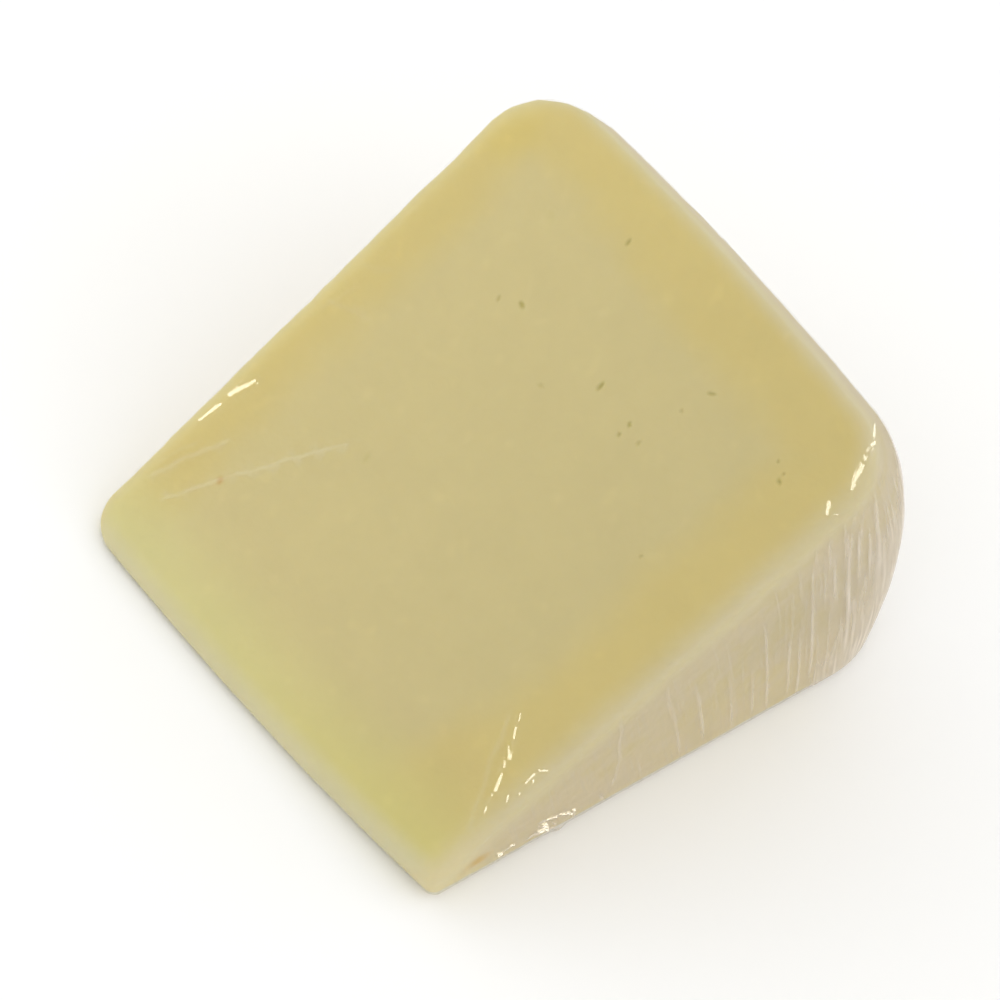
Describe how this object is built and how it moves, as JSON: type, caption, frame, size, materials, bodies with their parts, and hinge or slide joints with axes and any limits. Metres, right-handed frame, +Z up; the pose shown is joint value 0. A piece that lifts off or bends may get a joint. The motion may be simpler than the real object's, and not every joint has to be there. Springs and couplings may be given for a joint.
{
  "type": "sheep milk cheese wedge",
  "caption": "Wedge of pressed sheep milk cheese with a pale rind, in tight clear film, lying on one of its two cut faces.",
  "frame": {"origin": "middle of the bounding box's underside, on the cut face that the wedge lies on", "axes": "+X from the thin end to the rim of the wheel, +Y along the wheel's axis to the hidden flat rind face, +Z up; the flat rind face that the picture shows looks towards -Y"},
  "size_m": [0.0994, 0.081, 0.0715],
  "materials": {
    "cheese": "smooth pale straw paste with a beige rind",
    "film": "clear glossy cling film with fine stretch creases"
  },
  "bodies": {
    "root": {"wrapped_wedge": "cheese"}
  },
  "joints": []
}
